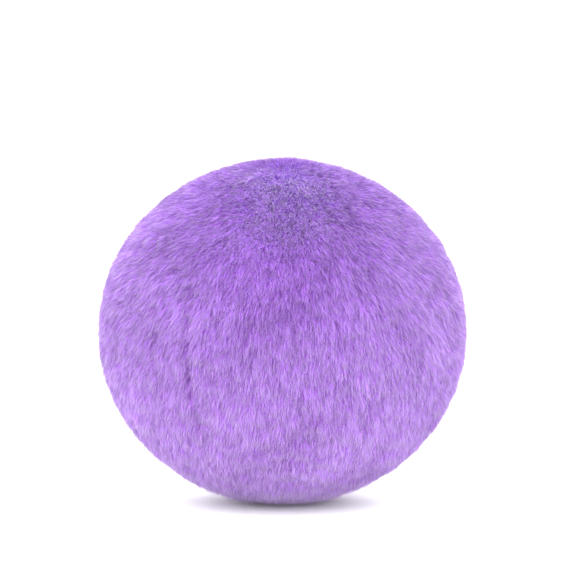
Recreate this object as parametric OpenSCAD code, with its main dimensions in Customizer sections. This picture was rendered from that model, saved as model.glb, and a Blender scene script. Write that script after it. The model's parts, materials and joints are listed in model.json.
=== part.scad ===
// Plush-covered playground ball: a zip-off fur cover of six gores over an inflated rubber ball.
// +Z is up, the origin is the middle of the flat patch the ball rests on, and the front is -Y.
// Every layer of the ball is the same four-arc oval at its own depth below the tips of the fur.

/* [Cover] */
// Width of the ball across the tips of its fur
outer_d = 246; // [220:1:280]
// How far the side arcs' centres stand out from the ball's axis
oval_shift = 12; // [8:0.5:14]
// Height of the patch that the ball's weight presses flat
foot_depth = 2; // [1:0.5:5]
// Depth of the fur
pile_t = 8; // [7:0.5:12]
// Thickness of the knitted cloth that the fur grows from
backing_t = 1.2; // [0.8:0.1:1.6]
// Gap that is left along a seam on each gore's side
gore_gap = 0.1; // [0.05:0.05:0.2]
// Width of the cloth that is folded back inside each seam
allowance_w = 9; // [6:0.5:10]

/* [Zip] */
// Where the closed slider stands, in degrees up the side arc
slider_top = 37.5; // [34:0.5:38]
// Half the width of the slot in the fur over the zip
slot_half_w = 4.8; // [4.6:0.1:6]
// Width of each zip tape
tape_w = 12.5; // [10:0.5:13]
// Length of one tooth along the chain
tooth_l = 1.6; // [1:0.1:2]
// Length of the pull from its hinge to its tip
pull_l = 18; // [14:0.5:18]

/* [Rubber ball] */
// Room between the cover and the rubber ball, for the seams and the zip
ball_gap = 3.3; // [3.1:0.1:5]
// Thickness of the rubber wall
wall_t = 2.2; // [1.6:0.1:3]
// Diameter of the valve seat where it goes through the wall
seat_d = 16; // [14:0.5:20]
// Diameter of the valve insert
insert_d = 6; // [5:0.5:8]

/* [Hidden] */

FUR = [0.67, 0.49, 0.86];
THREAD = [0.55, 0.38, 0.75];
TAPE = [0.58, 0.42, 0.78];
TOOTH = [0.80, 0.70, 0.92];
METAL = [0.75, 0.75, 0.78];
LABEL = [0.95, 0.95, 0.95];
RUBBER = [0.40, 0.24, 0.60];
VALVE = [0.15, 0.15, 0.16];

FINE = 180;                          // facets round the ball
SMALL = 48;                          // facets round small fittings
EASE = 0.1;                          // gap between neighbours that lie against each other

gore_angle = 60;
zip_turn = 2 * gore_angle;           // the seam between the rear and rear left gores
arc_join = 45;                       // where a side arc hands over to a polar arc
side_r = outer_d / 2 - oval_shift;
polar_r = side_r + oval_shift * sqrt(2);
half_h = polar_r - oval_shift;
centre_z = half_h - foot_depth;      // the ball's middle above the ground
cover_t = pile_t + backing_t;
ball_inset = cover_t + ball_gap;     // depth of the rubber ball's surface
allowance_t = backing_t;
allowance_end = 30;                  // the folded cloth is trimmed this far from the axis
allowance_fold = 0.5;                // how far inside the seam the folded cloth starts
allowance_sink = 0.4;                // how far the folded cloth reaches into the backing

// The zip's chain runs up a side arc, straight under the backing.
tape_t = 0.5;
chain_r = side_r - cover_t - EASE - tape_t / 2;
chain_half_t = 1.3;                  // half the thickness of a tooth
tooth_near = 0.75;                   // the two rows of teeth leave room for the slider's neck
tooth_far = 3.1;
tape_near = 1.5;
tooth_step = 1.5;                    // degrees from one tooth to the next
teeth_low = -38;                     // the zip's heights are in degrees up the side arc
teeth_high = 40;
stop_low = -39.5;
stop_high = 42;
stop_low_l = 2.4;
stop_high_l = 2;
groove_over = 2;                     // degrees that the tapes' groove runs past the last tooth
slot_end = 44;
stitch_end = 43;
stitch_y = 9.5;
stitch_r = 0.35;
tape_half_h = chain_r * sin(arc_join) - 1;
tape_room_half_h = tape_half_h + 2.5;
tape_sweep = 10;                     // degrees that hold a tape's whole width

// The slider, from the middle of the chain outwards.
slider_l = 11;
slider_half_w = 4.2;
flange_w = 0.7;
flange_gap = 0.55;
plate_top = 1.55;
plate_bottom = 1.65;
plate_t = 1;
corner_r = 1.6;
neck_half_w = 0.55;
neck_l = 3;
neck_inset = 0.5;                    // the neck stands this far below the slider's top end
bridge_l = 8.4;
bridge_h = 3.45;
bridge_w = 1.6;
bridge_t = 1.2;
pin_x = plate_top + plate_t + bridge_h / 2 - bridge_t / 2 + EASE;
pin_r = 0.55;
pull_w = 6.4;
ring_l = 5.4;                        // the pull's ring clears the bridge as it turns
ring_gap = 1.2;
ring_bar = 1.1;
ring_join = 1;                       // overlap of the ring's arms and the grip
grip_hole_r = 1.2;
grip_hole_x = pull_l - 3.2;

thread_r = 0.4;
thread_depth = cover_t + allowance_t + EASE + thread_r;
stitch_l = 3.4;
stitch_step = 2.1;                   // degrees from one stitch to the next
thread_low = 17;                     // first stitch, in degrees from the pole

label_h = 22;
label_t = 0.4;
label_sweep = 13;                    // degrees round the ball that the label covers
label_turn = 0.8;                    // degrees that the label stands clear of its seam

seat_flange_d = 30;
seat_flange_t = 2;
seat_flange_sink = 1.3;              // the flange stands this far inside the wall
seat_depth = 12;
seat_sink = 0.4;                     // the seat's face stands this far below the ball's surface
valve_ease = 0.1;
insert_lip_d = 9;
insert_lip_t = 1.5;
insert_face = 1;                     // the insert's length beyond the seat's own depth
needle_d = 1.6;
needle_depth = 4;
past = 1;                            // how far a cut runs past the surface that it opens

// Half of the ball's outline, at a depth below the tips of the fur.
module oval(depth) {
    reach = outer_d;
    translate([oval_shift, 0]) circle(r = side_r - depth, $fn = FINE);
    intersection() {
        translate([0, -oval_shift]) circle(r = polar_r - depth, $fn = FINE);
        translate([0, oval_shift]) circle(r = polar_r - depth, $fn = FINE);
        polygon([
            [0, -reach], [reach + oval_shift, -reach], [oval_shift, 0],
            [reach + oval_shift, reach], [0, reach]
        ]);
    }
}

// The outline of one layer, between two depths.
module layer(outside, inside) {
    intersection() {
        difference() {
            oval(outside);
            oval(inside);
        }
        translate([0, -outer_d]) square([outer_d, 2 * outer_d]);
    }
}

// Sweeps an outline of radius and distance across the seam up the side arc of the plane y = 0.
module side_sweep(low, high) {
    translate([oval_shift, 0, 0])
        mirror([0, 1, 0])
            rotate([90, 0, 0])
                rotate([0, 0, low])
                    rotate_extrude(angle = high - low, $fn = FINE) children();
}

// Stands a piece on the zip's chain, at an angle up the side arc.
module on_chain(angle) {
    translate([oval_shift, 0, 0])
        rotate([0, -angle, 0])
            translate([chain_r, 0, 0]) children();
}

module in_zip_seam() {
    translate([0, 0, centre_z]) rotate([0, 0, zip_turn]) children();
}

// Cloth folded back along one edge of a gore, just inside the fold: edge is -1 or 1.
// Beside the zip it is kept only above and below the tapes.
module seam_allowance(edge, beside_zip) {
    low = beside_zip ? tape_room_half_h : -outer_d / 2;
    rotate([0, 0, edge * gore_angle / 2]) intersection() {
        rotate([0, 0, edge > 0 ? -gore_angle / 2 : 0])
            rotate_extrude(angle = gore_angle / 2, $fn = FINE)
                layer(cover_t - allowance_sink, cover_t + allowance_t);
        for (down = beside_zip ? [0, 1] : [0]) mirror([0, 0, down])
            translate([allowance_end, edge > 0 ? -allowance_w : allowance_fold, low])
                cube([outer_d, allowance_w - allowance_fold, outer_d]);
    }
}

// One gore of the cover, facing +X. A gore beside the zip has a slot for it along its right edge.
module gore_shape(beside_zip) {
    translate([gore_gap, 0, 0]) difference() {
        union() {
            rotate([0, 0, -gore_angle / 2])
                rotate_extrude(angle = gore_angle, $fn = FINE) layer(0, cover_t);
            seam_allowance(-1, beside_zip);
            seam_allowance(1, false);
        }
        translate([-outer_d / 2, -outer_d / 2, -half_h - foot_depth])
            cube([outer_d, outer_d, 2 * foot_depth]);
        if (beside_zip) rotate([0, 0, -gore_angle / 2]) side_sweep(-slot_end, slot_end)
            translate([side_r - 2 * cover_t, -slot_half_w]) square([3 * cover_t, 2 * slot_half_w]);
    }
}

module gore(turn, beside_zip = false, zip_on_left = false) {
    color(FUR) translate([0, 0, centre_z]) rotate([0, 0, turn])
        if (zip_on_left) mirror([0, 1, 0]) gore_shape(beside_zip);
        else gore_shape(beside_zip);
}

module gore_front() { gore(-90); }
module gore_front_right() { gore(-30); }
module gore_rear_right() { gore(30); }
module gore_rear() { gore(90, beside_zip = true, zip_on_left = true); }
module gore_rear_left() { gore(150, beside_zip = true); }
module gore_front_left() { gore(210); }

// One stitch that lies along the seam, round an arc centre.
module seam_stitch(centre, arc_r, angle) {
    translate([centre[0], 0, centre[1]])
        rotate([0, -angle, 0])
            translate([arc_r, 0, -stitch_l / 2]) cylinder(r = thread_r, h = stitch_l, $fn = SMALL / 2);
}

// The stitches of one seam, from near the top to near the bottom.
module seam_thread(turn, closed_side = true) {
    color(THREAD) translate([0, 0, centre_z]) rotate([0, 0, turn]) {
        for (up = [-1, 1], a = [thread_low : stitch_step : arc_join - 1])
            seam_stitch([0, -up * oval_shift], polar_r - thread_depth, up * (90 - a));
        if (closed_side)
            for (a = [-arc_join + 1 : stitch_step : arc_join])
                seam_stitch([oval_shift, 0], side_r - thread_depth, a);
    }
}

module seam_thread_front_right() { seam_thread(-60); }
module seam_thread_right() { seam_thread(0); }
module seam_thread_rear_right() { seam_thread(60); }
module seam_thread_rear_left() { seam_thread(zip_turn, closed_side = false); }
module seam_thread_left() { seam_thread(180); }
module seam_thread_front_left() { seam_thread(240); }

// A tape lies under the backing and follows it: side is -1 for left and 1 for right, from outside.
module zip_tape(side) {
    depth = side_r - chain_r - tape_t / 2;
    color(TAPE) in_zip_seam() mirror([0, side < 0 ? 1 : 0, 0]) intersection() {
        rotate_extrude(angle = tape_sweep, $fn = FINE) layer(depth, depth + tape_t);
        translate([outer_d / 4, tape_near, -tape_half_h]) cube([outer_d / 2, tape_w, 2 * tape_half_h]);
    }
}

module zip_tape_left() { zip_tape(-1); }
module zip_tape_right() { zip_tape(1); }

module zip_stitching(side) {
    fall = stitch_y * stitch_y / (2 * side_r);
    color(THREAD) in_zip_seam() side_sweep(-stitch_end, stitch_end)
        translate([chain_r - tape_t / 2 - fall - EASE - stitch_r, side * stitch_y])
            circle(r = stitch_r, $fn = SMALL / 2);
}

module zip_stitching_left() { zip_stitching(-1); }
module zip_stitching_right() { zip_stitching(1); }

// The groove that a tape's edge runs through in the teeth and stops on one side.
module tape_groove(low, high, side) {
    width = 2 * tooth_far;
    side_sweep(low, high)
        translate([chain_r - tape_t / 2 - EASE, side > 0 ? tape_near - EASE : EASE - tape_near - width])
            square([tape_t + 2 * EASE, width]);
}

// A row of teeth, each moulded round the edge of its tape. The right row is half a step up.
module zip_teeth(side) {
    first = teeth_low + (side > 0 ? tooth_step / 2 : 0);
    color(TOOTH) in_zip_seam() difference() {
        for (a = [first : tooth_step : teeth_high])
            on_chain(a)
                translate([-chain_half_t, side > 0 ? tooth_near : -tooth_far, -tooth_l / 2])
                    cube([2 * chain_half_t, tooth_far - tooth_near, tooth_l]);
        tape_groove(teeth_low - groove_over, teeth_high + groove_over, side);
    }
}

module zip_teeth_left() { zip_teeth(-1); }
module zip_teeth_right() { zip_teeth(1); }

module stop_block(angle, y, width, length) {
    on_chain(angle) translate([-chain_half_t, y, -length / 2]) cube([2 * chain_half_t, width, length]);
}

// One small stop clamped on each tape, above the last teeth.
module zip_top_stops() {
    color(METAL) in_zip_seam() for (side = [-1, 1]) difference() {
        stop_block(stop_high, side > 0 ? tooth_near : -tooth_far, tooth_far - tooth_near, stop_high_l);
        tape_groove(stop_high - groove_over, stop_high + groove_over, side);
    }
}

// One stop that holds both tapes together below the first teeth.
module zip_bottom_stop() {
    color(METAL) in_zip_seam() difference() {
        stop_block(stop_low, -tooth_far, 2 * tooth_far, stop_low_l);
        for (side = [-1, 1]) tape_groove(stop_low - groove_over, stop_low + groove_over, side);
    }
}

// A rectangle with round corners, as exact arcs.
module round_rect(width, length, r) {
    square([width - 2 * r, length], center = true);
    square([width, length - 2 * r], center = true);
    for (x = [-1, 1], y = [-1, 1])
        translate([x * (width / 2 - r), y * (length / 2 - r)]) circle(r = r, $fn = SMALL);
}

// A plate of the slider that faces outwards, with a rim along each side that guides the teeth.
module slider_plate(face) {
    translate([face, 0, 0]) rotate([0, 90, 0]) linear_extrude(plate_t)
        round_rect(slider_l, 2 * slider_half_w, corner_r);
    for (side = [-1, 1]) {
        near = side > 0 ? slider_half_w - flange_w : -slider_half_w;
        translate([flange_gap, near, -slider_l / 2 + corner_r])
            cube([face - flange_gap + plate_t / 2, flange_w, slider_l - 2 * corner_r]);
    }
}

// The arch that the pull's ring hangs on.
module slider_bridge() {
    base = plate_top + plate_t;
    sink = plate_t / 2;
    translate([0, bridge_w / 2, 0]) rotate([90, 0, 0]) linear_extrude(bridge_w) difference() {
        translate([base - sink, -bridge_l / 2]) union() {
            square([bridge_h + sink - bridge_t, bridge_l]);
            translate([0, bridge_t]) square([bridge_h + sink, bridge_l - 2 * bridge_t]);
            for (y = [bridge_t, bridge_l - bridge_t])
                translate([bridge_h + sink - bridge_t, y]) circle(r = bridge_t, $fn = SMALL);
        }
        translate([base, -bridge_l / 2 + 1.5 * bridge_t])
            square([bridge_h - bridge_t, bridge_l - 3 * bridge_t]);
    }
}

module zip_slider() {
    color(METAL) in_zip_seam() on_chain(slider_top) {
        slider_plate(plate_top);
        mirror([1, 0, 0]) slider_plate(plate_bottom);
        translate([-plate_bottom - plate_t / 2, -neck_half_w, slider_l / 2 - neck_l - neck_inset])
            cube([plate_top + plate_bottom + plate_t, 2 * neck_half_w, neck_l]);
        slider_bridge();
    }
}

// The pull hangs down over the chain from a bar through the bridge.
module zip_pull() {
    color(METAL) in_zip_seam() on_chain(slider_top) translate([pin_x, 0, 0]) {
        rotate([90, 0, 0])
            cylinder(r = pin_r, h = 2 * (ring_gap + ring_bar), center = true, $fn = SMALL);
        rotate([0, 90, 0]) linear_extrude(2 * pin_r, center = true) difference() {
            union() {
                translate([0, -ring_gap - ring_bar]) square([ring_l + ring_join, 2 * (ring_gap + ring_bar)]);
                translate([(ring_l + pull_l) / 2, 0]) round_rect(pull_l - ring_l, pull_w, corner_r);
            }
            translate([-past, -ring_gap]) square([ring_l + past, 2 * ring_gap]);
            translate([grip_hole_x, 0]) circle(r = grip_hole_r, $fn = SMALL);
        }
    }
}

// A blank woven label, sewn into the left seam on the inside.
module care_label() {
    depth = cover_t + allowance_t + EASE;
    color(LABEL) translate([0, 0, centre_z]) rotate([0, 0, 180 + label_turn]) intersection() {
        rotate_extrude(angle = label_sweep, $fn = FINE) layer(depth, depth + label_t);
        translate([0, -outer_d / 2, -label_h / 2]) cube([outer_d, outer_d, label_h]);
    }
}

// The valve lies on the zip's plane at the ball's middle, so that a pump reaches it.
module on_valve_axis(depth) {
    in_zip_seam() translate([outer_d / 2 - ball_inset - depth, 0, 0]) rotate([0, 90, 0]) children();
}

module rubber_ball() {
    color(RUBBER) difference() {
        translate([0, 0, centre_z]) rotate_extrude($fn = FINE) layer(ball_inset, ball_inset + wall_t);
        on_valve_axis(2 * wall_t) cylinder(d = seat_d + 2 * valve_ease, h = 3 * wall_t, $fn = SMALL);
    }
}

module valve_seat() {
    color(VALVE) difference() {
        union() {
            on_valve_axis(seat_depth) cylinder(d = seat_d, h = seat_depth - seat_sink, $fn = SMALL);
            on_valve_axis(wall_t + seat_flange_sink + seat_flange_t)
                cylinder(d = seat_flange_d, h = seat_flange_t, $fn = SMALL);
        }
        on_valve_axis(seat_depth + past)
            cylinder(d = insert_d + 2 * valve_ease, h = seat_depth + 2 * past, $fn = SMALL);
    }
}

module valve_insert() {
    color(VALVE) difference() {
        union() {
            on_valve_axis(seat_depth + insert_lip_t)
                cylinder(d = insert_d, h = seat_depth + insert_face, $fn = SMALL);
            on_valve_axis(seat_depth + insert_lip_t + valve_ease)
                cylinder(d = insert_lip_d, h = insert_lip_t, $fn = SMALL);
        }
        on_valve_axis(needle_depth) cylinder(d = needle_d, h = needle_depth + past, $fn = SMALL);
    }
}

gore_front();
gore_front_right();
gore_rear_right();
gore_rear();
gore_rear_left();
gore_front_left();
seam_thread_front_right();
seam_thread_right();
seam_thread_rear_right();
seam_thread_rear_left();
seam_thread_left();
seam_thread_front_left();
zip_tape_left();
zip_tape_right();
zip_stitching_left();
zip_stitching_right();
zip_teeth_left();
zip_teeth_right();
zip_top_stops();
zip_bottom_stop();
zip_slider();
zip_pull();
care_label();
rubber_ball();
valve_seat();
valve_insert();
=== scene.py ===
"""Looks of the plush-covered playground ball: combed fur over its backing, and finishes for the rest."""

import json
import math

import bpy
import numpy as np
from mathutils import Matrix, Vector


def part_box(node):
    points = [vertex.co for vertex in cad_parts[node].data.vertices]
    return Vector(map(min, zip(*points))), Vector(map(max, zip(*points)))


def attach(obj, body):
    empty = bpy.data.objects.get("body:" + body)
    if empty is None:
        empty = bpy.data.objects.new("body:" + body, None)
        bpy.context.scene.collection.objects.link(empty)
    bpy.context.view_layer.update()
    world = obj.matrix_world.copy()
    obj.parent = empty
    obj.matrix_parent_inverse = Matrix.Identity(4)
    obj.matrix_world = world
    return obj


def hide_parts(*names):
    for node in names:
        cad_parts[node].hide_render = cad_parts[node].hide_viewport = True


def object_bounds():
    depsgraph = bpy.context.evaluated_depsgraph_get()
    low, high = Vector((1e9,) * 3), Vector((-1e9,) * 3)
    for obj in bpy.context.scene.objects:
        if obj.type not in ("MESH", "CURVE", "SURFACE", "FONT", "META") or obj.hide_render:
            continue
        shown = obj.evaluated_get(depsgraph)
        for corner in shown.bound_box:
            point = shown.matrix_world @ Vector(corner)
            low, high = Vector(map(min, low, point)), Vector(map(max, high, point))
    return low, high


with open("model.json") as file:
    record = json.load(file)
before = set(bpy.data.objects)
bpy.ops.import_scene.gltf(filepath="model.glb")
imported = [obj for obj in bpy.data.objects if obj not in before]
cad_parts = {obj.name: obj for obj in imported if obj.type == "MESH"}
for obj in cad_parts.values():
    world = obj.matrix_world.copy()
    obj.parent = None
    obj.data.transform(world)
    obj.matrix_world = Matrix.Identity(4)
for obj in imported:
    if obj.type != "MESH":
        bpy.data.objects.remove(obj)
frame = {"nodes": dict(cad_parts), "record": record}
cad_lo, cad_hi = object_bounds()

MM = 0.001
RNG = np.random.default_rng(20)

# ---------------------------------------------------------------- the ball's shape, from the frame

# The direction that each gore faces, in degrees. The seams lie halfway between, and one holds the zip.
GORES = {
    "rear_right": 30,
    "rear": 90,
    "rear_left": 150,
    "front_left": 210,
    "front": 270,
    "front_right": 330,
}
GORE_TURN = 360 // len(GORES)
GORE_ANGLE = math.radians(GORE_TURN)
ZIP_TURN = 120
ZIP_SEAM = math.radians(ZIP_TURN)
FRONT = math.radians(-90)
POLE = math.pi / 2

# Every layer is an oval of four arcs. They join where the surface's normal stands this far above level.
ARC_JOIN = math.radians(45)
rubber_lo, rubber_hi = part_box("rubber_ball")
rubber_half_w = (rubber_hi.x - rubber_lo.x) / 2
rubber_half_h = (rubber_hi.z - rubber_lo.z) / 2
CENTRE_Z = (rubber_lo.z + rubber_hi.z) / 2
SHIFT = (rubber_half_w - rubber_half_h) / (2 - math.sqrt(2))
SIDE_R = (cad_hi.x - cad_lo.x) / 2 - SHIFT
POLAR_R = SIDE_R + SHIFT * math.sqrt(2)

# The cover's own measures: its pile, its cloth, and the slot that the zip lies in
PILE_T = 8 * MM
BACKING_T = 1.2 * MM
SLOT_HALF_W = 4.8 * MM
SLOT_END = math.radians(44)
SLOT_CLOSE = math.radians(1)


def rho(nu, depth):
    """Distance from the ball's axis of the layer at a depth, where its normal stands nu above level."""
    side = np.abs(nu) <= ARC_JOIN
    return np.where(side, SHIFT + (SIDE_R - depth) * np.cos(nu), (POLAR_R - depth) * np.cos(nu))


def height(nu, depth):
    """Height above the ground of the same point."""
    side = np.abs(nu) <= ARC_JOIN
    polar = -np.sign(nu) * SHIFT + (POLAR_R - depth) * np.sin(nu)
    return CENTRE_Z + np.where(side, (SIDE_R - depth) * np.sin(nu), polar)


def on_ball(nu, phi, depth):
    """Points at a depth, from nu and from the direction phi round the axis."""
    r = rho(nu, depth)
    return np.stack([r * np.cos(phi), r * np.sin(phi), height(nu, depth)], axis=-1)


def axes_at(nu, phi):
    """Outward normal, downhill direction and eastward direction of the ball's surface."""
    out = np.stack([np.cos(nu) * np.cos(phi), np.cos(nu) * np.sin(phi), np.sin(nu)], axis=-1)
    down = np.stack([np.sin(nu) * np.cos(phi), np.sin(nu) * np.sin(phi), -np.cos(nu)], axis=-1)
    east = np.stack([-np.sin(phi), np.cos(phi), np.zeros_like(phi)], axis=-1)
    return out, down, east


def ramp_up(value, start, end):
    """0 up to the start, 1 from the end, and straight between."""
    return np.clip((value - start) / (end - start), 0, 1)


def patch(nu, phi, centre_nu, centre_phi, size):
    """A smooth spot of height 1 on the ball, round a centre."""
    turn = (phi - centre_phi + math.pi) % math.tau - math.pi
    return np.exp(-((turn * np.cos(nu)) ** 2 + (nu - centre_nu) ** 2) / size**2)


def slot_open(angle):
    """1 along the zip, and 0 beyond its ends, for an angle above or below level."""
    return 1 - ramp_up(np.abs(angle), SLOT_END, SLOT_END + SLOT_CLOSE)


def wave_noise(points, wavelength, seed, waves=10):
    """Smooth noise of about unit size over 3-D points, from a few seeded plane waves."""
    rng = np.random.default_rng(seed)
    k = rng.normal(size=(waves, 3))
    k /= np.linalg.norm(k, axis=1, keepdims=True)
    k *= math.tau / wavelength * rng.uniform(0.7, 1.4, (waves, 1))
    phase = rng.uniform(0, math.tau, waves)
    return np.sin(points @ k.T + phase).sum(axis=1) * math.sqrt(2 / waves)


# ---------------------------------------------------------------- how the fur is laid, clump by clump

CLUMPS = 130000
PER_CLUMP = 5
STRANDS = CLUMPS * PER_CLUMP
CLUMP_JITTER = 0.35

# The comb, in degrees east of downhill: a bias, a fan away from the front, a swirl and two sizes of wave
COMB_BIAS = -3
COMB_FAN = 7
COMB_WAVES = ((150 * MM, 4), (26 * MM, 3))
COMB_JITTER = 7
SWIRL_TURN = -10
SWIRL_NU = math.radians(-35)
SWIRL_PHI = math.radians(-98)
SWIRL_SIZE = math.radians(24)

# The lean of the tips from the normal: combed flat, upright at the pole, and partly raised on the crown
COMBED_LEAN = math.radians(77)
LEAN_WAVE = 2
LEAN_JITTER = 6
POLE_LEAN = math.radians(12)
POLE_FROM = math.radians(77)
POLE_RISE = 0.35
CROWN_LEAN = math.radians(63)
CROWN_NU = math.radians(46)
CROWN_PHI = math.radians(-91)
CROWN_SIZE = math.radians(17)

# Height of the pile above its roots, with its unevenness as shares of that height
PILE_RISE = 5.1 * MM
RISE_WAVE = 0.08
RISE_JITTER = 0.08

# Shade runs from 0, dark, to 1, light. It is lifted at the top of the front and at the foot, which is
# painted light.
MEAN_SHADE = 0.5
BROAD_SHADE_WAVE = 0.04
FINE_SHADE_WAVE = 0.03
SHADE_JITTER = 0.24
BROW_NU = math.radians(70)
BROW_SIZE = math.radians(11)
BROW_PAINTED_LIGHT = 0.42
FOOT_FROM = math.radians(56)
FOOT_FULL = math.radians(72)
FOOT_PAINTED_LIGHT = 0.45

# Painted light, above 0, takes the roots towards the tips' colour at the top of the front and at the
# foot.
# Painted shade, below 0, takes the tips towards the roots' colour on the upper front.
PAINTED_LIGHT_PALENESS = 0.25
UPPER_FRONT_PAINTED_SHADE = 0.2
UPPER_FRONT_SHADE_NU = math.radians(40)
UPPER_FRONT_SHADE_SIZE = math.radians(30)

# The fur parts along the seams, more in some places than in others. Its strands there are darkened, as
# painted shade in the parting.
PARTING_W = 2.6 * MM
PARTING_TURN = math.radians(9)
PARTING_PAINTED_SHADE = 0.2
PARTING_MEAN = 0.6
PARTING_WAVE = 0.5
PARTING_LEAST = 0.15

ROOT_DEPTH = 6.2 * MM
ROOT_SPREAD = 0.7 * MM
TIP_SPREAD = 0.3 * MM


def spread_evenly(count):
    """nu and phi of evenly spread points on the backing, by a golden spiral over equal areas."""
    grid = np.linspace(-POLE, POLE, 4001)
    radius = np.where(np.abs(grid) <= ARC_JOIN, SIDE_R, POLAR_R) - PILE_T
    density = rho(grid, PILE_T) * radius
    total = np.concatenate([[0], np.cumsum((density[1:] + density[:-1]) / 2)])
    share = (np.arange(count) + 0.5) / count
    nu = np.interp(share * total[-1], total, grid)
    phi = (np.arange(count) * math.pi * (3 - math.sqrt(5))) % math.tau
    return nu, phi


def place_clumps():
    """Evenly spread points, each moved a little at random."""
    nu, phi = spread_evenly(CLUMPS)
    jitter = CLUMP_JITTER * math.sqrt(4 * math.pi / CLUMPS)
    nu = np.clip(nu + RNG.normal(0, jitter, CLUMPS), 1e-4 - POLE, POLE - 1e-4)
    phi = phi + RNG.normal(0, jitter, CLUMPS) / np.maximum(np.cos(nu), 0.05)
    return nu, phi


def seam_offset(nu, phi):
    """Signed distance east of the nearest seam."""
    return rho(nu, PILE_T) * np.sin(phi - np.round(phi / GORE_ANGLE) * GORE_ANGLE)


def comb_direction(base, nu, phi):
    """Direction that the clumps are combed in, east of downhill."""
    comb = COMB_BIAS - COMB_FAN * np.sin(2 * phi)
    comb += SWIRL_TURN * patch(nu, phi, SWIRL_NU, SWIRL_PHI, SWIRL_SIZE)
    for seed, (wavelength, size) in enumerate(COMB_WAVES, 1):
        comb += size * wave_noise(base, wavelength, seed)
    return np.radians(comb + RNG.normal(0, COMB_JITTER, CLUMPS))


def lay_clumps(base, nu, phi):
    """Comb, lean, rise, shade, painted lighting and tip spread of every clump."""
    pole = ramp_up(nu, POLE_FROM, POLE)
    painted_foot_light = ramp_up(-nu, FOOT_FROM, FOOT_FULL)
    crown = patch(nu, phi, CROWN_NU, CROWN_PHI, CROWN_SIZE)
    painted_brow_light = patch(nu, phi, BROW_NU, FRONT, BROW_SIZE)
    painted_upper_front_shade = patch(nu, phi, UPPER_FRONT_SHADE_NU, FRONT, UPPER_FRONT_SHADE_SIZE)
    offset = seam_offset(nu, phi)
    parting = np.exp(-((offset / PARTING_W) ** 2))
    parting *= np.clip(PARTING_MEAN + PARTING_WAVE * wave_noise(base, 60 * MM, 7), PARTING_LEAST, 1)

    comb = comb_direction(base, nu, phi) + np.sign(offset) * parting * PARTING_TURN
    lean = COMBED_LEAN + (POLE_LEAN - COMBED_LEAN) * pole
    lean += (CROWN_LEAN - lean) * crown
    lean += np.radians(LEAN_WAVE * wave_noise(base, 30 * MM, 3) + RNG.normal(0, LEAN_JITTER, CLUMPS))
    rise = 1 + RISE_WAVE * wave_noise(base, 16 * MM, 4) + RNG.normal(0, RISE_JITTER, CLUMPS)
    rise *= PILE_RISE * (1 + POLE_RISE * pole)
    shade = MEAN_SHADE + RNG.normal(0, SHADE_JITTER, CLUMPS)
    shade += BROAD_SHADE_WAVE * wave_noise(base, 60 * MM, 5)
    shade += FINE_SHADE_WAVE * wave_noise(base, 9 * MM, 6)
    # Painted light lifts the shade at the top of the front and at the foot; painted shade darkens the
    # seams' partings.
    shade += BROW_PAINTED_LIGHT * painted_brow_light + FOOT_PAINTED_LIGHT * painted_foot_light - PARTING_PAINTED_SHADE * parting
    # Painted light at the top of the front and at the foot, less painted shade on the upper front
    painted_lighting = PAINTED_LIGHT_PALENESS * np.maximum(painted_brow_light, painted_foot_light) - UPPER_FRONT_PAINTED_SHADE * painted_upper_front_shade
    spread = TIP_SPREAD + (ROOT_SPREAD - TIP_SPREAD) * np.maximum(pole, crown)
    return comb, lean, rise, shade, painted_lighting, spread


# ---------------------------------------------------------------- the strands of the clumps

STEPS = np.array([0.0, 0.5, 1.0])
TIP_SCATTER = 1.2 * MM
ROOT_LEAN_SHARE = 0.45
ROOT_LEAN_JITTER = math.radians(4)
LEAST_BEND = math.radians(8)
LENGTH_JITTER = 0.08
COMBED_TURN = math.radians(8)
STRAND_SHADE = 0.23
SHADE_EDGE = 0.02

# Stray strands stand up out of the pile, by some degrees, and turn away from the comb.
STRAY_SHARE = 0.18
STRAY_LIFT = (12, 50)
STRAY_TURN = math.radians(20)

# Points that would dip into the ground lie just above it.
GROUND_CLEAR = 0.3 * MM
GROUND_SPREAD = 0.5 * MM


def each_strand(field):
    """Repeats a clump's value for each of its strands."""
    return np.repeat(field, PER_CLUMP, axis=0)


def bend_strands(lean, rise, stray):
    """Lean at the root, further bend up to the tip, and length. The length keeps the pile's height."""
    root_lean = np.maximum(ROOT_LEAN_SHARE * lean + RNG.normal(0, ROOT_LEAN_JITTER, STRANDS), 0)
    bend = np.maximum(lean - root_lean, LEAST_BEND)
    length = rise * bend / (np.sin(root_lean + bend) - np.sin(root_lean))
    length *= 1 + RNG.normal(0, LENGTH_JITTER, STRANDS)
    lifted = np.maximum(bend - np.radians(RNG.uniform(*STRAY_LIFT, STRANDS)), LEAST_BEND)
    return root_lean, np.where(stray, lifted, bend), length


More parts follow.
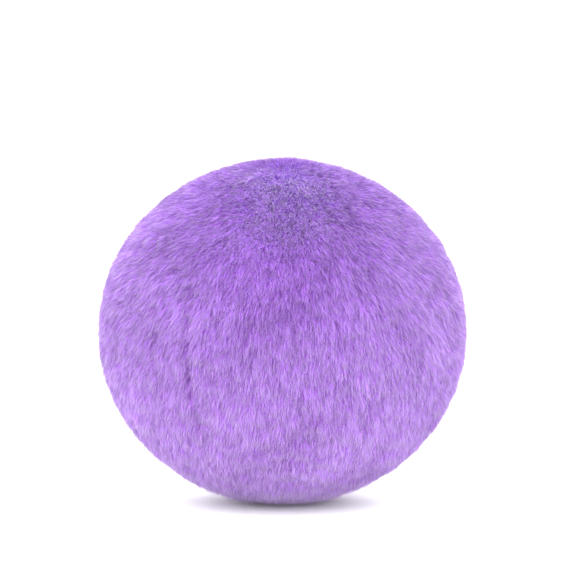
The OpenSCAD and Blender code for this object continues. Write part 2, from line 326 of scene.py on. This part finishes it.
def build_strands():
    """Middle line of every strand, with its normal, shade, painted lighting, gore and half of the ball.
    """
    nu, phi = place_clumps()
    base = on_ball(nu, phi, ROOT_DEPTH)
    comb, lean, rise, shade, painted_lighting, spread = map(each_strand, lay_clumps(base, nu, phi))
    base, out, down, east = map(each_strand, (base, *axes_at(nu, phi)))
    root_e = RNG.normal(0, ROOT_SPREAD, STRANDS)
    root_d = RNG.normal(0, ROOT_SPREAD, STRANDS)
    tip_e = spread * RNG.normal(0, 1, STRANDS)
    tip_d = RNG.normal(0, TIP_SCATTER, STRANDS)
    stray = RNG.random(STRANDS) < STRAY_SHARE
    root_lean, bend, length = bend_strands(lean, rise, stray)
    stray_turn = RNG.normal(0, STRAY_TURN, STRANDS)
    turn = comb + np.where(stray, stray_turn, RNG.normal(0, COMBED_TURN, STRANDS))

    points = []
    for s in STEPS:
        up = length * (np.sin(root_lean + bend * s) - np.sin(root_lean)) / bend
        along = length * (np.cos(root_lean) - np.cos(root_lean + bend * s)) / bend
        e = root_e * (1 - s) + tip_e * s + along * np.sin(turn)
        d = root_d * (1 - s) + tip_d * s + along * np.cos(turn)
        drop = (e * e + d * d) / (2 * SIDE_R)
        points.append(base + east * e[:, None] + down * d[:, None] + out * (up - drop)[:, None])
    points = clear_of_zip(np.stack(points, axis=1))
    raised = GROUND_CLEAR + RNG.uniform(0, GROUND_SPREAD, (STRANDS, 1))
    points[..., 2] = np.where(points[..., 2] < GROUND_CLEAR, raised, points[..., 2])

    root = points[:, 0]
    gore = np.floor(np.arctan2(root[:, 1], root[:, 0]) / GORE_ANGLE).astype(int) % len(GORES)
    upper = root[:, 2] > CENTRE_Z
    shade = np.clip(shade + RNG.normal(0, STRAND_SHADE, STRANDS), SHADE_EDGE, 1 - SHADE_EDGE)
    keep = ~in_slot(root)
    return [field[keep] for field in (points, out, shade, painted_lighting, gore, upper)]


def zip_frame(points):
    """Distance out along the zip seam's plane and distance across it."""
    reach = points[..., 0] * math.cos(ZIP_SEAM) + points[..., 1] * math.sin(ZIP_SEAM)
    across = -points[..., 0] * math.sin(ZIP_SEAM) + points[..., 1] * math.cos(ZIP_SEAM)
    return reach, across


def slot_width(reach, z):
    """Half width of the slot in the fur."""
    angle = np.arctan2(z - CENTRE_Z, np.maximum(reach - SHIFT, 1e-6))
    return np.where(reach > 0, SLOT_HALF_W * slot_open(angle), 0)


def in_slot(points):
    """Whether a strand roots in the slot or within a hair's width of it."""
    reach, across = zip_frame(points)
    return np.abs(across) < slot_width(reach, points[..., 2]) + 0.1 * MM


def clear_of_zip(points):
    """Parts the fur along the zip, so that the slider and its pull run free of it."""
    reach, across = zip_frame(points)
    need = slot_width(reach, points[..., 2]) * 0.97
    side = np.sign(across[:, :1])
    shift = np.where(across * side < need, need * side, across) - across
    points[..., 0] -= shift * math.sin(ZIP_SEAM)
    points[..., 1] += shift * math.cos(ZIP_SEAM)
    return points


# ---------------------------------------------------------------- fur pieces

ROOT_W = 0.34 * MM
TIP_W = 0.08 * MM
UV_LAYER = "OFBake"
UV_HALF_W = 0.004
UV_EDGE = 0.01
# Roots are darker and deeper in colour than tips: partly the fibres' own colour, partly painted shade
# deep in the pile.
ROOT_COLOUR = (0.52, 0.10, 0.88, 1)
MIDDLE_COLOUR = (0.45, 0.145, 0.79, 1)
TIP_COLOUR = (0.435, 0.345, 0.53, 1)

# The shade tints these colours, from the dark tint by as much more as the range says.
DARK_TINT = (0.38, 0.27, 0.47)
TINT_RANGE = (1.24, 1.66, 1.0)


def ribbon_corners(points, out):
    """Corners of a tapered ribbon along each line: a pair at each step, and one at the tip."""
    count, steps = points.shape[:2]
    ahead = np.gradient(points, axis=1)
    ahead /= np.linalg.norm(ahead, axis=2, keepdims=True)
    flat = np.cross(ahead, out[:, None, :])
    flat /= np.maximum(np.linalg.norm(flat, axis=2, keepdims=True), 1e-9)
    roll = RNG.uniform(-1.0, 1.0, (count, 1, 1))
    across = flat * np.cos(roll) + np.cross(flat, ahead) * np.sin(roll)
    half_w = (ROOT_W + (TIP_W - ROOT_W) * STEPS)[None, :, None] / 2
    corners = np.empty((count, 2 * steps - 1, 3), np.float32)
    corners[:, 0:-1:2] = (points - across * half_w)[:, :-1]
    corners[:, 1:-1:2] = (points + across * half_w)[:, :-1]
    corners[:, -1] = points[:, -1]
    return corners


def ribbon_faces(steps):
    """Corner numbers of one ribbon's faces in a row, and how many corners each face has."""
    last = 2 * (steps - 2)
    loops = []
    for k in range(0, last, 2):
        loops += [k, k + 1, k + 3, k + 2]
    loops += [last, last + 1, last + 2]
    return np.array(loops), np.array([4] * (steps - 2) + [3])


def strand_places(shade, painted_lighting, loops):
    """Places in the colour picture: shade to the right, and from the root's colour up to the tip's."""
    along = np.append(np.repeat(STEPS[:-1], 2), 1)[loops][None, :]
    sideways = np.append(np.tile([-UV_HALF_W, UV_HALF_W], len(STEPS) - 1), 0)[loops][None, :]
    # Painted light moves a strand's colours towards its tip's colour, and painted shade towards its
    # root's.
    painted_lighting = painted_lighting[:, None]
    along = np.where(painted_lighting > 0, along + (1 - along) * painted_lighting, along * (1 + painted_lighting))
    return np.stack([shade[:, None] + sideways, UV_EDGE + (1 - 2 * UV_EDGE) * along], axis=-1)


def new_piece(mesh):
    """Puts a mesh into the scene under its own name."""
    piece = bpy.data.objects.new(mesh.name, mesh)
    bpy.context.scene.collection.objects.link(piece)
    return piece


def ribbon_piece(name, points, out, shade, painted_lighting):
    """One mesh with a ribbon for each strand."""
    corners = ribbon_corners(points, out)
    count, per = corners.shape[:2]
    loops, sizes = ribbon_faces(len(STEPS))
    all_loops = (np.arange(count)[:, None] * per + loops[None, :]).ravel()
    starts = np.concatenate([[0], np.cumsum(np.tile(sizes, count))[:-1]])
    mesh = bpy.data.meshes.new(name)
    mesh.vertices.add(count * per)
    mesh.vertices.foreach_set("co", corners.ravel())
    mesh.loops.add(len(all_loops))
    mesh.loops.foreach_set("vertex_index", all_loops.astype(np.int32))
    mesh.polygons.add(len(starts))
    mesh.polygons.foreach_set("loop_start", starts.astype(np.int32))
    mesh.polygons.foreach_set("use_smooth", np.ones(len(starts), bool))
    places = strand_places(shade, painted_lighting, loops).astype(np.float32)
    mesh.uv_layers.new(name=UV_LAYER).data.foreach_set("uv", places.ravel())
    mesh.update(calc_edges=True)
    mesh.validate()
    return new_piece(mesh)


def new_material(name, colour, roughness, metallic=0.0):
    """A principled material, with its nodes, its links and its surface node."""
    material = bpy.data.materials.new(name)
    material.use_nodes = True
    surface = material.node_tree.nodes["Principled BSDF"]
    surface.inputs["Base Color"].default_value = (*colour, 1)
    surface.inputs["Roughness"].default_value = roughness
    surface.inputs["Metallic"].default_value = metallic
    return material, material.node_tree.nodes, material.node_tree.links, surface


def fur_material():
    """Colour from the strand's own shade and the way from its root to its tip."""
    material, nodes, links, surface = new_material("fur", MIDDLE_COLOUR[:3], 0.6)
    place = nodes.new("ShaderNodeUVMap")
    place.uv_map = UV_LAYER
    parts = nodes.new("ShaderNodeSeparateXYZ")
    links.new(place.outputs[0], parts.inputs[0])
    ramp = nodes.new("ShaderNodeValToRGB")
    ramp.color_ramp.elements[0].color = ROOT_COLOUR
    ramp.color_ramp.elements[1].color = TIP_COLOUR
    ramp.color_ramp.elements.new(0.5).color = MIDDLE_COLOUR
    links.new(parts.outputs["Y"], ramp.inputs[0])
    scale = nodes.new("ShaderNodeVectorMath")
    scale.operation = "MULTIPLY_ADD"
    scale.inputs[1].default_value = TINT_RANGE
    scale.inputs[2].default_value = DARK_TINT
    links.new(parts.outputs["X"], scale.inputs[0])
    tint = nodes.new("ShaderNodeVectorMath")
    tint.operation = "MULTIPLY"
    links.new(ramp.outputs[0], tint.inputs[0])
    links.new(scale.outputs[0], tint.inputs[1])
    links.new(tint.outputs[0], surface.inputs["Base Color"])
    surface.inputs["Specular IOR Level"].default_value = 0.12
    surface.inputs["Sheen Weight"].default_value = 1.0
    surface.inputs["Sheen Roughness"].default_value = 0.3
    surface.inputs["Sheen Tint"].default_value = (1.0, 1.0, 1.0, 1)
    return material


def cover_gore(piece, material, name):
    """Gives a piece its material and its body, and lets it stand for the plain CAD gore."""
    piece.data.materials.append(material)
    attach(piece, "root")
    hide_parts(f"gore_{name}")


def grow_fur():
    """Two fur pieces on each gore, above and below the middle of the ball."""
    points, out, shade, painted_lighting, gore, upper = build_strands()
    material = fur_material()
    for number, name in enumerate(GORES):
        for half, wanted in (("upper", True), ("lower", False)):
            pick = (gore == number) & (upper == wanted)
            fields = [field[pick] for field in (points, out, shade, painted_lighting)]
            cover_gore(ribbon_piece(f"fur_{name}_{half}", *fields), material, name)


# ---------------------------------------------------------------- backing cloth with its underfur

UNDERFUR_DEPTH = 5.8 * MM
SEAM_GAP = 0.15 * MM
BACKING_ROWS = 181
BACKING_COLUMNS = 61
BACKING_END = 0.004


def backing_edge(nu, beside_zip):
    """Angle from the middle of a gore to its backing's edge, which leaves the zip's slot free."""
    offset = np.full_like(nu, SEAM_GAP)
    if beside_zip:
        offset += (SLOT_HALF_W - SEAM_GAP) * slot_open(nu)
    radius = np.maximum(rho(nu, PILE_T), 1e-5)
    return GORE_ANGLE / 2 - np.arcsin(np.minimum(offset / radius, 0.45))


def shell_faces(rows, columns):
    """Faces of a closed shell: an outer grid, an inner grid and the rim that joins them."""
    count = rows * columns
    grid = np.arange(count).reshape(rows, columns).tolist()
    faces = []
    for r in range(rows - 1):
        for c in range(columns - 1):
            quad = [grid[r][c], grid[r + 1][c], grid[r + 1][c + 1], grid[r][c + 1]]
            faces.append(quad)
            faces.append([count + i for i in reversed(quad)])
    left = [row[0] for row in grid]
    right = [row[-1] for row in reversed(grid[:-1])]
    rim = left + grid[-1][1:] + right + grid[0][-2:0:-1]
    for a, b in zip(rim, rim[1:] + rim[:1]):
        faces.append([b, a, count + a, count + b])
    return faces


def backing_piece(name, turn):
    """A closed shell over one gore, from the top of the dense underfur to the inside of the cloth."""
    nu = np.linspace(POLE - BACKING_END, BACKING_END - POLE, BACKING_ROWS)
    low = -backing_edge(nu, turn - GORE_TURN // 2 == ZIP_TURN)[:, None]
    high = backing_edge(nu, turn + GORE_TURN // 2 == ZIP_TURN)[:, None]
    phi = math.radians(turn) + low + (high - low) * np.linspace(0, 1, BACKING_COLUMNS)
    nu = np.repeat(nu[:, None], BACKING_COLUMNS, axis=1)
    depths = (UNDERFUR_DEPTH, PILE_T + BACKING_T)
    points = np.vstack([on_ball(nu, phi, depth).reshape(-1, 3) for depth in depths])
    mesh = bpy.data.meshes.new(name)
    mesh.from_pydata(points.tolist(), [], shell_faces(BACKING_ROWS, BACKING_COLUMNS))
    mesh.update()
    mesh.polygons.foreach_set("use_smooth", np.ones(len(mesh.polygons), bool))
    return new_piece(mesh)


def lay_backing():
    """A backing under the fur of each gore."""
    material = cloth_material("backing", (0.38, 0.11, 0.66), 0.9 * MM)
    for name, turn in GORES.items():
        cover_gore(backing_piece(f"backing_{name}", turn), material, name)


# ---------------------------------------------------------------- materials of the other pieces

RIBS_PER_PITCH = 0.32
PEBBLE = 1.8 * MM


def vary_colour(nodes, links, surface, value, colour, spread):
    """Runs the base colour from a darker to a lighter tone with a value."""
    ramp = nodes.new("ShaderNodeValToRGB")
    ramp.color_ramp.elements[0].color = (*[c * (1 - spread) for c in colour], 1)
    ramp.color_ramp.elements[1].color = (*[min(1, c * (1 + spread)) for c in colour], 1)
    links.new(value, ramp.inputs[0])
    links.new(ramp.outputs[0], surface.inputs["Base Color"])


def add_bump(nodes, links, surface, value, depth):
    """Raises the surface with a value, by up to a depth."""
    bump = nodes.new("ShaderNodeBump")
    bump.inputs["Distance"].default_value = depth
    links.new(value, bump.inputs["Height"])
    links.new(bump.outputs[0], surface.inputs["Normal"])


def cloth_material(name, colour, pitch):
    """Woven or knitted cloth: two crossed sets of ribs at a pitch."""
    material, nodes, links, surface = new_material(name, colour, 0.85)
    place = nodes.new("ShaderNodeTexCoord")
    weave = nodes.new("ShaderNodeMath")
    weave.operation = "MULTIPLY"
    for number, direction in enumerate(("Z", "DIAGONAL")):
        ribs = nodes.new("ShaderNodeTexWave")
        ribs.bands_direction = direction
        ribs.inputs["Scale"].default_value = RIBS_PER_PITCH / pitch
        ribs.inputs["Distortion"].default_value = 0.6
        ribs.inputs["Detail"].default_value = 1
        links.new(place.outputs["Object"], ribs.inputs["Vector"])
        links.new(ribs.outputs["Fac"], weave.inputs[number])
    vary_colour(nodes, links, surface, weave.outputs[0], colour, 0.22)
    add_bump(nodes, links, surface, weave.outputs[0], 0.15 * pitch)
    surface.inputs["Sheen Weight"].default_value = 0.3
    return material


def grainy_material(name, colour, roughness, grain, metallic=0.0, depth=0.02 * MM, stretch=1.0):
    """Moulded plastic, metal or rubber with a fine surface grain, which may be stretched upwards."""
    material, nodes, links, surface = new_material(name, colour, roughness, metallic)
    place = nodes.new("ShaderNodeTexCoord")
    scale = nodes.new("ShaderNodeMapping")
    scale.inputs["Scale"].default_value = (1, 1, 1 / stretch)
    noise = nodes.new("ShaderNodeTexNoise")
    noise.inputs["Scale"].default_value = 1 / grain
    noise.inputs["Detail"].default_value = 3
    links.new(place.outputs["Object"], scale.inputs[0])
    links.new(scale.outputs[0], noise.inputs["Vector"])
    vary_colour(nodes, links, surface, noise.outputs[0], colour, 0.08)
    add_bump(nodes, links, surface, noise.outputs[0], depth)
    return material


def brushed_material(name, colour):
    """Plated metal, brushed lengthways."""
    return grainy_material(name, colour, 0.34, 0.4 * MM, 1.0, 0.01 * MM, 1 / 0.15)


def pebbled_material(name, colour):
    """Playground rubber: small round pebbles moulded all over."""
    material, nodes, links, surface = new_material(name, colour, 0.62)
    place = nodes.new("ShaderNodeTexCoord")
    cells = nodes.new("ShaderNodeTexVoronoi")
    cells.inputs["Scale"].default_value = 1 / PEBBLE
    links.new(place.outputs["Object"], cells.inputs["Vector"])
    vary_colour(nodes, links, surface, cells.outputs["Distance"], colour, 0.18)
    add_bump(nodes, links, surface, cells.outputs["Distance"], 0.25 * MM)
    return material


def finish_cad_nodes():
    """Gives every CAD piece outside the fur a procedural material, by its slot in the record."""
    by_slot = {
        "thread": cloth_material("thread", (0.30, 0.13, 0.55), 0.4 * MM),
        "zip_tape": cloth_material("zip_tape", (0.36, 0.17, 0.62), 0.5 * MM),
        "zip_teeth": grainy_material("zip_teeth", (0.40, 0.20, 0.66), 0.35, 0.5 * MM),
        "zip_metal": brushed_material("zip_metal", (0.34, 0.33, 0.36)),
        "label": cloth_material("label", (0.85, 0.85, 0.83), 0.3 * MM),
        "ball_rubber": pebbled_material("ball_rubber", (0.22, 0.07, 0.42)),
        "valve_rubber": grainy_material("valve_rubber", (0.02, 0.02, 0.022), 0.5, 0.8 * MM),
    }
    for part in frame["record"]["subparts"]:
        node = frame["nodes"][part["node"]]
        material = by_slot.get(part["material_slot"])
        if material:
            node.data.materials.clear()
            node.data.materials.append(material)


# ---------------------------------------------------------------- floor, light and camera

FLOOR_SIZE = 40
WHITE = (1, 1, 1, 1)
# Painted light: the floor glows by up to this much away from the ball, with none under it, which narrows
# its shadow.
PAINTED_FLOOR_GLOW = 0.4
PAINTED_GLOW_REACH = 130 * MM
FRONT_LIGHT = 1.87
BACK_LIGHT = 2.85
CAMERA_AWAY = 1.9
CAMERA_RISE = math.radians(4)
CAMERA_AIM = 114.7 * MM
CAMERA_LENS = 182.2
CAMERA_SHIFT = (-0.0018, 0.085)


def floor_material():
    """White paper that glows softly away from the ball, painted light that narrows the ball's shadow;
    its faint green tint offsets the ball's purple bounce light.
    """
    material, nodes, links, surface = new_material("floor", (0.94, 0.97, 0.92), 0.9)
    place = nodes.new("ShaderNodeTexCoord")
    away = nodes.new("ShaderNodeVectorMath")
    away.operation = "LENGTH"
    painted_glow = nodes.new("ShaderNodeMapRange")
    painted_glow.interpolation_type = "SMOOTHSTEP"
    painted_glow.inputs["From Max"].default_value = PAINTED_GLOW_REACH
    painted_glow.inputs["To Max"].default_value = PAINTED_FLOOR_GLOW
    links.new(place.outputs["Object"], away.inputs[0])
    links.new(away.outputs["Value"], painted_glow.inputs["Value"])
    links.new(painted_glow.outputs[0], surface.inputs["Emission Strength"])
    surface.inputs["Emission Color"].default_value = WHITE
    return material


def make_floor():
    """A wide floor under the ball."""
    bpy.ops.mesh.primitive_plane_add(size=FLOOR_SIZE, location=(0, 0, 0))
    floor = bpy.context.object
    floor.name = "floor"
    floor.data.materials.append(floor_material())


def make_light():
    """Even white light from all round, brighter from behind."""
    world = bpy.data.worlds.new("studio")
    bpy.context.scene.world = world
    world.use_nodes = True
    nodes, links = world.node_tree.nodes, world.node_tree.links
    sky = nodes["Background"]
    sky.inputs[0].default_value = WHITE
    place = nodes.new("ShaderNodeTexCoord")
    parts = nodes.new("ShaderNodeSeparateXYZ")
    strength = nodes.new("ShaderNodeMapRange")
    strength.inputs["From Min"].default_value = -1
    strength.inputs["To Min"].default_value = FRONT_LIGHT
    strength.inputs["To Max"].default_value = BACK_LIGHT
    links.new(place.outputs["Generated"], parts.inputs[0])
    links.new(parts.outputs["Y"], strength.inputs["Value"])
    links.new(strength.outputs[0], sky.inputs["Strength"])


def make_camera():
    """A camera in front of the ball, raised a little and looking down by the same angle."""
    scene = bpy.context.scene
    camera = bpy.data.objects.new("camera", bpy.data.cameras.new("camera"))
    scene.collection.objects.link(camera)
    scene.camera = camera
    camera.data.sensor_width = 36
    camera.data.lens = CAMERA_LENS
    camera.data.shift_x, camera.data.shift_y = CAMERA_SHIFT
    back = CAMERA_AWAY * math.cos(CAMERA_RISE)
    camera.location = (0, -back, CAMERA_AIM + CAMERA_AWAY * math.sin(CAMERA_RISE))
    camera.rotation_euler = (math.pi / 2 - CAMERA_RISE, 0, 0)
    scene.view_settings.view_transform = "Standard"


grow_fur()
lay_backing()
finish_cad_nodes()
make_floor()
make_light()
make_camera()
